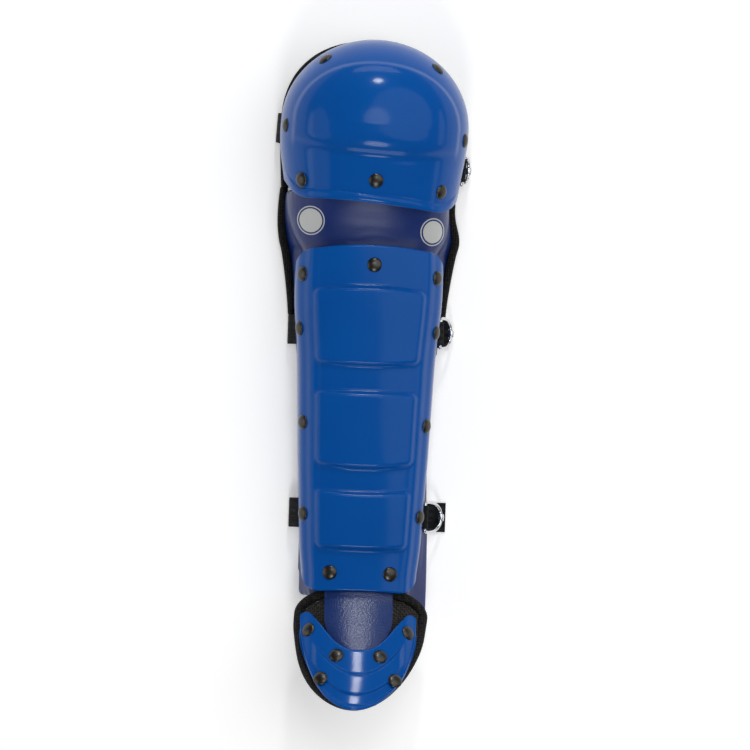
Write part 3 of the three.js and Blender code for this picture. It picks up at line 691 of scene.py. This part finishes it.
def metal(name, colour, roughness, scratch):
    mat, shader = finish(name, colour, roughness, 1.0)
    place = object_place(mat)
    noise = node(mat, "ShaderNodeTexNoise", Scale=260.0, Detail=5.0)
    join(mat, place, noise.inputs["Vector"])
    rough = node(mat, "ShaderNodeMapRange")
    rough.inputs["To Min"].default_value = roughness
    rough.inputs["To Max"].default_value = roughness + scratch
    join(mat, noise.outputs["Fac"], rough.inputs["Value"])
    join(mat, rough.outputs["Result"], shader.inputs["Roughness"])
    relief(mat, shader, noise.outputs["Fac"], 0.05, 0.3)
    return mat


shell_gloss = gloss_shell()
vinyl, vinyl_shader, vinyl_tint = grained("grained_vinyl", (12, 36, 98), (18, 46, 112),
                                          1100, 0.06, 0.38)
roundels(vinyl, vinyl_shader, vinyl_tint, [(-52.9, 129.6, 66), (53.9, 123.1, 66)], 13.0)
pebbled, pebbled_shader, _ = grained("pebbled_vinyl", (14, 42, 100), (20, 52, 114), 900, 0.22, 0.3)
pebbled_shader.inputs["IOR"].default_value = 1.55
vinyl_shader.inputs["IOR"].default_value = 1.42
spacer_mesh = knit("spacer_mesh", (4, 5, 7), (62, 60, 56), 560, 0.4)
bound_knit = knit("bound_knit", (2, 2, 3), (44, 44, 42), 520, 0.35)
web_cloth = webbed("webbing", (7, 8, 10), (38, 40, 44), 600, 1100, 0.2)
gunmetal = metal("gunmetal", (72, 70, 66), 0.26, 0.12)
nickel = metal("bright_nickel", (216, 218, 220), 0.2, 0.08)


# Camera: straight above, rolled a little, a touch from the left

SENSOR = 36.0
REACH = 9000.0
SEEN_WIDE = 637.5
AIM = Vector((7.6, 0.7, 45.0))
ROLL = math.radians(1.97)
YAW = math.radians(2.0)
back = Vector((-math.sin(YAW), 0, math.cos(YAW)))
upward = Vector((-math.sin(ROLL), math.cos(ROLL), 0))
right = upward.cross(back).normalized()
upward = back.cross(right)
camera = bpy.data.objects.new("camera", bpy.data.cameras.new("camera"))
camera.data.sensor_width = SENSOR
camera.data.lens = SENSOR * REACH / SEEN_WIDE
camera.data.clip_end = 30
turn = Matrix((right, upward, back)).transposed().to_4x4()
camera.matrix_world = Matrix.Translation((AIM + back * REACH) * MM) @ turn
bpy.context.scene.collection.objects.link(camera)
bpy.context.scene.camera = camera


# Knee cap: rows of the skirt below, a square turned into a half disc above

def knee_place(u, v):
    split = -0.2
    if v < split:
        share = math.sin(math.pi / 2 * u)
        x = share * knee_half(KNEE_LIP)
        y = mix(lip_y(x), KNEE_MID, (v + 1) / (split + 1))
        x = share * knee_half(y)
        z = knee_z(x, y)
        if x < 0:
            x *= 1 - KNEE_DRAWN_IN * fade(0.3, 1, down_knee(y))
        return x, y, z
    w = (v - split) / (1 - split)
    dx, dy = disc(u, w)
    r = math.hypot(dx, dy)
    scale = math.sin(math.pi / 2 * min(r, 1)) / r if r > 0 else 0
    x, y = KNEE_HALF * dx * scale, KNEE_MID + KNEE_END * dy * scale
    return x, y, knee_z(x, y)


knee_shell = make("knee_cap", grid(150, 170, knee_place), shell_gloss,
                  ["knee_shell"])
thicken(knee_shell, WALL, 0.8)


# Shin shell

def rounded(x, y):
    """Moves a point of the shell's rectangle so that its corners come out round."""
    half = shin_half(y)
    for radius, end, way in ((TOP_CORNER, SHIN_TOP, 1), (LOW_CORNER, SHIN_BOTTOM, -1)):
        across = (abs(x) - half + radius) / radius
        along = way * (y - end) / radius + 1
        if across > 0 and along > 0:
            x = math.copysign(half - radius * (1 - across * math.sqrt(1 - along**2 / 2)), x)
            y = end + way * radius * (along * math.sqrt(1 - across**2 / 2) - 1)
    return x, y


def shin_place(u, v):
    t = (1 - v) / 2
    y = SHIN_TOP - SHIN_LONG * (t - 0.025 * math.sin(2 * math.pi * t))
    x, y = rounded(math.sin(math.pi / 2 * u) * shin_half(y), y)
    side = clamp(abs(x) / (SHIN_HALF - TOP_CORNER)) ** 2
    bow = LOW_BOW * (1 - side) * fade(SHIN_BOTTOM + 14, SHIN_BOTTOM, y)
    bow -= TOP_FALL * side * fade(SHIN_TOP - 40, SHIN_TOP, y)
    soft = EDGE_DROP * clamp((abs(v) - 0.992) / 0.008)
    return x, y + bow, shin_z(x, y) - soft


shin_shell = make("shin_shell_gloss", grid(140, 250, shin_place), shell_gloss,
                  ["shin_shell"])
thicken(shin_shell, WALL)


# Foot shell: a crescent with round horns

def foot_place(u, v):
    """v runs from the outer to the inner edge, u from horn to horn."""
    side = math.copysign(1, u)
    a = math.pi * (1.5 + 0.5 * side * clamp(abs(u) / FOOT_BODY))
    inner_x = FOOT_INNER[-1][0] * math.cos(a)
    outer = Vector((FOOT_HALF * math.cos(a), FOOT_MID + FOOT_LONG * math.sin(a)))
    inner = Vector((inner_x, FOOT_MID + look_up(FOOT_INNER, abs(inner_x), 1)))
    tip = 0.995 * math.sin(math.pi / 2 * clamp((abs(u) - FOOT_BODY) / (1 - FOOT_BODY)))
    half = (inner - outer) / 2
    ahead = Vector((half.y, -half.x)) * side
    x, y = (outer + inner) / 2 + half * v * math.sqrt(1 - tip * tip) + ahead * tip * 0.8
    roll = math.sin(math.pi * clamp((-v - 0.8) / 0.2)) ** 2 * fade(0.9, 0.7, abs(u))
    soft = clamp((abs(v) - 0.93) / 0.07) ** 2 * fade(FOOT_BODY, 0.5, abs(u))
    z = foot_z(x, y) + TOE_ROLL * roll - EDGE_DROP * soft
    end = fade(FOOT_MID - 40, FOOT_MID - FOOT_LONG, y)
    return x - TOE_ASIDE * end, y + TOE_BACK * end, z


foot_shell = make("foot_shell_gloss", grid(170, 70, foot_place), shell_gloss,
                  ["foot_shell"])
thicken(foot_shell, WALL)


# Padding

def inside_shell(along, column):
    """Half width (column 1) or front (column 2) of the room in the shell, as a share."""
    y = SHIN_TOP - along * SHIN_LONG
    if column == 1:
        return (shin_half(y) - BEHIND) / SHIN_HALF
    return (shin_front(y) - BEHIND) / SHIN_FRONT


def pad_section(along):
    """The columns of the pad table after the first, at any place along the shell."""
    row = []
    for column in (1, 2):
        if INSIDE_FROM <= along <= INSIDE_TO:
            row.append(inside_shell(along, column))
        else:
            row.append(straight([(r[0], r[column] or inside_shell(r[0], column))
                                 for r in PAD_TABLE], along))
    return row + [straight([(r[0], r[column]) for r in PAD_TABLE], along)
                  for column in (3, 4, 5)]


def straight(pairs, place):
    """Value at a place on the straight lines through pairs of place and value."""
    for (a, low), (b, high) in zip(pairs, pairs[1:]):
        if place <= b:
            return mix(low, high, clamp((place - a) / (b - a)))
    return pairs[-1][1]


def shin_pad_place(u, v):
    """u runs from -1 at the left rear edge over the front to 1 at the right rear edge."""
    along = mix(PAD_LAST, PAD_FIRST, (v + 1) / 2)
    half, front, roundness, left, right_edge = pad_section(along)
    y = SHIN_TOP - along * SHIN_LONG
    half *= SHIN_HALF
    front *= SHIN_FRONT
    slant = -8 * fade(0.93, PAD_LAST, along)
    side = -1 if u < 0 else 1
    bend = 0.72
    base = SHIN_RIM - 2
    if abs(u) <= bend:
        share = math.sin(math.pi / 2 * u / bend)
        return share * half, y + slant * share, base + (front - base) * arch(share, roundness)
    t = (abs(u) - bend) / (1 - bend)
    rear = SHIN_HALF * (left if u < 0 else right_edge) + REAR_EXTRA
    return side * mix(half, rear, t), y + slant * side, mix(base, FLOOR_LIFT, t)


def lining(thing, centre_z, material):
    """The side that faces the leg is lined with mesh."""
    thing.data.materials.append(material)
    for face in thing.data.polygons:
        x, _, z = face.center / MM
        if face.normal.x * x + face.normal.z * (z - centre_z) < -2:
            face.material_index = 1


def quilted(point, normal, centre_z, quilts):
    """1 on the quilting lines of the leg's side, else 0."""
    inward = normal.x * point.x + normal.z * (point.z - centre_z) < 0
    line = min(abs(abs(point.x) - quilt) for quilt in quilts)
    return 1.0 if inward and line < SEAM else 0.0


def sewn_shin(point, normal):
    """Held at the ends and rear edges, and along quilting lines on the leg's side."""
    along = along_shin(point.y)
    if along < -0.12 or along > 1.0 or point.z < HELD_BELOW:
        return 1.0
    return quilted(point, normal, 10, SHIN_QUILTS)


shin_pad = make("shin_padding", grid(72, 150, shin_pad_place), vinyl,
                ["shin_pad"])
thicken(shin_pad, PAD_THICK * PAD_SHARE)
puff(shin_pad, 3.4, 0.6, 1.4, sewn_shin)
lining(shin_pad, 10, spacer_mesh)


def knee_peek(a):
    """How far the pad's rim shows past the cap at the upper left, by angle."""
    return PEEK * max(0.0, math.cos((a - PEEK_ANGLE) * 1.9)) ** 2 if a > 1.5 else 0.0


def knee_pad_place(u, v):
    """The knee form further in, carried straight down to the straps at its edges."""
    bend = 0.8
    split = -0.3
    if v < split:
        y = mix(KNEE_PAD_LOW, KNEE_MID, (v + 1) / (split + 1))
        share, drop = min(1, abs(u) / bend), clamp((abs(u) - bend) / (1 - bend))
        x = math.copysign(math.sin(math.pi / 2 * share), u) * (knee_half(y) - BEHIND)
        z = knee_z(x, y, BEHIND, False)
        return x, y, mix(z, FLOOR_LIFT, drop) if drop else z
    w = (v - split) / (1 - split)
    dx, dy = disc(u, w)
    r = math.hypot(dx, dy)
    share, drop = min(1, r / bend), clamp((r - bend) / (1 - bend))
    scale = math.sin(math.pi / 2 * share) / r if r > 0 else 0
    x = (KNEE_HALF - BEHIND) * dx * scale
    y = KNEE_MID + (KNEE_END - BEHIND) * dy * scale
    z = knee_z(x * 0.99999, y, BEHIND, False)
    out = drop * knee_peek(math.atan2(dy, dx))
    return (x + out * dx / max(r, 0.001), y + out * dy / max(r, 0.001),
            mix(KNEE_RIM, FLOOR_LIFT, drop) if drop else z)


def sewn_knee(point, normal):
    """Held at the rim and along quilting lines on the leg's side."""
    if point.z < HELD_BELOW or point.y < KNEE_LIP + 12:
        return 1.0
    return quilted(point, normal, 20, KNEE_QUILTS)


knee_pad = make("knee_padding", grid(90, 90, knee_pad_place), vinyl,
                ["knee_pad"])
thicken(knee_pad, PAD_THICK * PAD_SHARE)
puff(knee_pad, 3.6, 0.9, 1.6, sewn_knee)
lining(knee_pad, 20, spacer_mesh)

UNDER_FOOT = WALL + TONGUE_THICK + 2 * GAP


def tongue_place(u, v):
    t = (v + 1) / 2
    y = mix(FOOT_MID - TONGUE_END, FOOT_MID + TONGUE_TOP, 1 - math.sin(math.pi / 2 * (1 - t)))
    past = clamp((FOOT_MID + 2 - y) / TONGUE_HALF)
    half = TONGUE_HALF * math.sqrt(max(0.0, 1 - past * past))
    x = u * half
    return x, y, foot_z(x, y, WALL + 2 * GAP, False) - TONGUE_FALL * abs(u) ** 4


bm = grid(60, 80, tongue_place)
bmesh.ops.remove_doubles(bm, verts=bm.verts, dist=0.01 * MM)
tongue = make("ankle_tongue", bm, pebbled, ["tongue"])
thicken(tongue, TONGUE_THICK * 0.8, 1.0)

FOOT_PAD_MID = (2.8, FOOT_MID + 3)


def foot_pad_edge(a, grow):
    """Point on the foot pad's outline, moved out by `grow`."""
    long = FOOT_PAD_UP if math.sin(a) > 0 else FOOT_PAD_DOWN
    return (FOOT_PAD_MID[0] + (FOOT_PAD_HALF + grow) * math.cos(a),
            FOOT_PAD_MID[1] + (long + grow) * math.sin(a))


def foot_pad_place(u, v):
    dx, dy = disc(u, v)
    x = FOOT_PAD_MID[0] + FOOT_PAD_HALF * dx
    y = FOOT_PAD_MID[1] + (FOOT_PAD_UP if dy > 0 else FOOT_PAD_DOWN) * dy
    return x, y, foot_z(x, y, UNDER_FOOT + GAP, False)


foot_pad = make("foot_padding", grid(70, 70, foot_pad_place), spacer_mesh,
                ["foot_pad"])
thicken(foot_pad, FOOT_PAD_THICK - 0.4)
puff(foot_pad, 3.2, 0.2, 0.8, lambda point, normal: 1.0 if abs(normal.z) < 0.5 else 0.0)

# Bound edges
UP = Vector((0, 0, 1))
rim = []
for k in range(48):
    x, y = foot_pad_edge(2 * math.pi * k / 48, RIM_OUT - LAP / 2)
    z = foot_z(x, y, UNDER_FOOT + GAP + FOOT_PAD_THICK / 2, False)
    past = y - FOOT_MID
    aside = sum(far * fade(start, end, past) for start, end, far in RIM_ASIDE)
    if x > FOOT_PAD_MID[0]:
        aside += RIM_RING_SIDE * fade(-20, -60, past)
    rim.append((x - aside, y + RIM_TOE_BACK * fade(-40, -78, past), z))
make("foot_edge", tube(flowing(rim, True, 4), FOOT_BIND_WIDE + LAP, FOOT_BIND_HIGH, UP, loop=True),
     bound_knit, ["foot_binding"])

BIND_MID = FLOOR_LIFT + BIND_HIGH / 2
edge = []
off = BEHIND - GAP - (BIND_WIDE - LAP) / 2
for k in range(5):
    y = mix(KNEE_EDGE_LOW, KNEE_MID, k / 4)
    edge.append((-(knee_half(y) - off), y, BIND_MID))
for k in range(1, 18):
    a = math.pi * (1 - k / 18)
    out = knee_peek(a)
    edge.append(((KNEE_HALF - off + out) * math.cos(a),
                 KNEE_MID + (KNEE_END - off + out) * math.sin(a), BIND_MID))
for k in range(5):
    y = mix(KNEE_MID, KNEE_EDGE_LOW, k / 4)
    edge.append((knee_half(y) - off, y, BIND_MID))
make("knee_edge", tube(flowing(edge, steps=4), BIND_WIDE + LAP, BIND_HIGH, UP), bound_knit,
     ["knee_binding"])

for name, side, column in (("left", -1, 4), ("right", 1, 5)):
    line = []
    for k in range(14):
        along = mix(-0.14, 0.2, k / 13)
        out = SHIN_HALF * look_up(PAD_TABLE, along, column)
        middle = out + GAP + (BIND_WIDE - LAP) / 2
        line.append((side * middle, SHIN_TOP - along * SHIN_LONG, BIND_MID))
    make(f"wing_edge_{name}", tube(flowing(line, steps=4), BIND_WIDE + LAP, BIND_HIGH, UP),
         bound_knit, [f"shin_binding_{name}"])


# Rivets

def seat(form, x, y):
    """Point on a form, its outward direction, and the lift that clears what is round it."""
    h = 0.05
    z = form(x, y)
    out = Vector(((form(x - h, y) - form(x + h, y)) / (2 * h),
                  (form(x, y - h) - form(x, y + h)) / (2 * h), 1)).normalized()
    turn = UP.rotation_difference(out)
    base = Vector((x, y, z))
    lift = 0.0
    for k in range(48):
        r = RIVET_WIDE / 2 * (1 + k % 3) / 3
        q = turn @ Vector((r * math.cos(k * 0.393), r * math.sin(k * 0.393), 0)) + base
        lift = max(lift, (form(q.x, q.y) - q.z) * out.z)
    return base, turn, lift


def rivet_set(prefix, form, places):
    half = RIVET_WIDE / 2
    last = len(RIVET_SECTION) - 1
    for i, (x, y) in enumerate(places):
        base, turn, lift = seat(form, x, y)

        def place(u, v):
            s = (v + 1) / 2 * last
            k = min(int(s), last - 1)
            r, z = (mix(RIVET_SECTION[k][c], RIVET_SECTION[k + 1][c], s - k) for c in (0, 1))
            a = math.pi * (0 if u >= 1 else u + 1)
            q = base + turn @ Vector((r * half * math.cos(a), r * half * math.sin(a), z + lift))
            return q.x, q.y, q.z

        make(f"{prefix}_cap_{i + 1}", closed_grid(32, 2 * last, place), gunmetal,
             [f"{prefix}_rivet_{i + 1}"])


rivet_set("knee", knee_z, KNEE_RIVETS)
rivet_set("shin", shin_z, SHIN_RIVETS)
rivet_set("foot", foot_z, FOOT_RIVETS)


# Webbing, rings and hooks

def webbing(name, node_name, on_knee, side, y0, wide, ends, turn=4.0, thick=WEB_THICK):
    """A band along the inside of a shell's side, between shell and pad, then through `ends`.

    `turn` is the radius of its bends.
    """
    off = WALL + GAP
    form = knee_z if on_knee else shin_z
    low = KNEE_RIM if on_knee else SHIN_RIM
    rows = []
    for k in range(9):
        v = k / 4 - 1
        y = y0 + v * wide / 2
        half = knee_edge(y, off) if on_knee else shin_half(y) - off
        path = [(side * s * half, y, form(side * s * half, y, off, False))
                for s in (0.9, 0.95, 0.985)]
        path += [(side * half, y, low), (side * half, y, low - 4)]
        rows.append(bent(path + [(x, ye + v * wide / 2, z) for x, ye, z in ends], turn))
    bm = grid(len(rows[0]) - 1, 8, pick(rows), hint=(side, 0, -1 if side < 0 else 0.2))
    with_lengths(bm, rows)
    thing = make(name, bm, web_cloth, [node_name])
    thicken(thing, thick, 0.5)


for name, y_left, y_right, left_out, right_out, on_knee in FASTENINGS:
    def part(kind):
        return f"knee_{kind}" if on_knee else f"shin_{kind}_{name}"

    low = KNEE_RIM if on_knee else SHIN_RIM
    hook_eye = WIRE / 2 + GAP + HOOK_WALL
    hook_x = right_out - WIRE / 2
    hook_z = WEB_THICK + GAP + hook_eye
    webbing(f"{name}_strap_band", part("strap"), on_knee, -1, y_left, WEB_WIDE, [
        (-left_out, y_left, 12), (-left_out, y_left, 0), (0, (y_left + y_right) / 2, 0),
        (STRAP_ENDS[name], y_right, 0)])
    eye = RING_WIRE / 2 + GAP + TAB_THICK
    eye_x = knee_half(y_right) if on_knee else shin_half(y_right) + EYE_OUT
    eye_z = low - EYE_DROP - eye
    turns = [(eye_x + eye * math.sin(a), y_right, eye_z + eye * math.cos(a))
             for a in [math.radians(d) for d in range(-30, 290, 20)]]
    webbing(f"{name}_tab_band", part("tab"), on_knee, 1, y_right, TAB_WIDE, turns, 1.0,
            TAB_THICK)

    span = math.hypot(hook_x - eye_x, hook_z - eye_z)
    dx, dz = (hook_x - eye_x) / span, (hook_z - eye_z) / span
    half = TAB_WIDE / 2 + GAP + WIRE / 2 + 0.5
    shape = [(0, -half), (0, half), (0.3, half + 0.2), (0.62, half - 1), (0.84, half - 4),
             (0.96, half - 7.5), (1, 0), (0.96, 7.5 - half), (0.84, 4 - half), (0.62, 1 - half),
             (0.3, -half - 0.2)]
    ring = [(eye_x + dx * span * s, y_right + w, eye_z + dz * span * s) for s, w in shape]
    ring = bent([ring[-1], *ring, ring[0]], 3.5, 8)[1:-1]
    make(f"{name}_ring_wire", tube(ring, RING_WIRE, RING_WIRE, Vector((-dz, 0, dx)), loop=True),
         nickel, [part("ring")])
    loop = []
    for k in range(24):
        a = 2 * math.pi * k / 24
        loop.append(Vector((hook_x + HOOK_LOOP * math.cos(a), y_right,
                            hook_z + HOOK_LOOP * math.sin(a))))
    make(f"{name}_hook_wire", tube(loop, 1.1, HOOK_WIDE, Vector((0, 1, 0)), loop=True), nickel,
         [part("hook")])


# Floor and light

floor_mat, floor_shader = finish("pale_floor", (244, 244, 244), 0.7)
speck = node(floor_mat, "ShaderNodeTexNoise", Scale=3.0)
join(floor_mat, object_place(floor_mat), speck.inputs["Vector"])
floor_tint = between(floor_mat, speck.outputs["Fac"], (243, 243, 243), (246, 246, 246))
join(floor_mat, floor_tint.outputs["Color"], floor_shader.inputs["Base Color"])
floor_shader.inputs["Emission Color"].default_value = (1, 1, 1, 1)
floor_shader.inputs["Emission Strength"].default_value = 0.3
bm = bmesh.new()
bmesh.ops.create_grid(bm, x_segments=2, y_segments=2, size=6)
mesh = bpy.data.meshes.new("floor")
bm.to_mesh(mesh)
bm.free()
floor = bpy.data.objects.new("floor", mesh)
floor.data.materials.append(floor_mat)
bpy.context.scene.collection.objects.link(floor)


def softbox(name, place, wide, tall, power):
    """An oval lamp, in metres, that points at the middle of the guard."""
    light = bpy.data.lights.new(name, "AREA")
    light.shape = "ELLIPSE"
    light.size, light.size_y = wide, tall
    light.energy = power
    lamp = bpy.data.objects.new(name, light)
    lamp.location = place
    lamp.rotation_euler = (-Vector(place)).to_track_quat("-Z", "Y").to_euler()
    bpy.context.scene.collection.objects.link(lamp)


# Name, place, width and height in metres, power in watts
LAMPS = [
    ("key", (1.0, 0.6, 1.8), 2.6, 2.6, 20),
    ("fill", (-1.9, -0.2, 0.9), 2.2, 1.4, 6.5),
    ("near_foot", (0, -1.35, 1.55), 0.5, 0.7, 9),
    ("above_knee", (0.05, 2.0, 1.35), 0.3, 0.3, 12),
    ("middle", (0.02, 0.45, 1.95), 0.6, 0.6, 3),
    ("low_above", (0, 2.1, 0.5), 1.4, 0.4, 5),
    ("low_below", (0, -2.1, 0.5), 1.4, 0.4, 5),
    ("low_left", (-2.0, -0.1, 0.4), 1.6, 0.4, 2),
    ("low_right", (2.0, 0.1, 0.4), 1.6, 0.4, 2)]
for lamp in LAMPS:
    softbox(*lamp)
world = bpy.data.worlds.new("studio")
world.use_nodes = True
world.node_tree.nodes["Background"].inputs["Color"].default_value = (0.95, 0.97, 1, 1)
world.node_tree.nodes["Background"].inputs["Strength"].default_value = 0.1
bpy.context.scene.world = world
bpy.context.scene.view_settings.view_transform = "Standard"
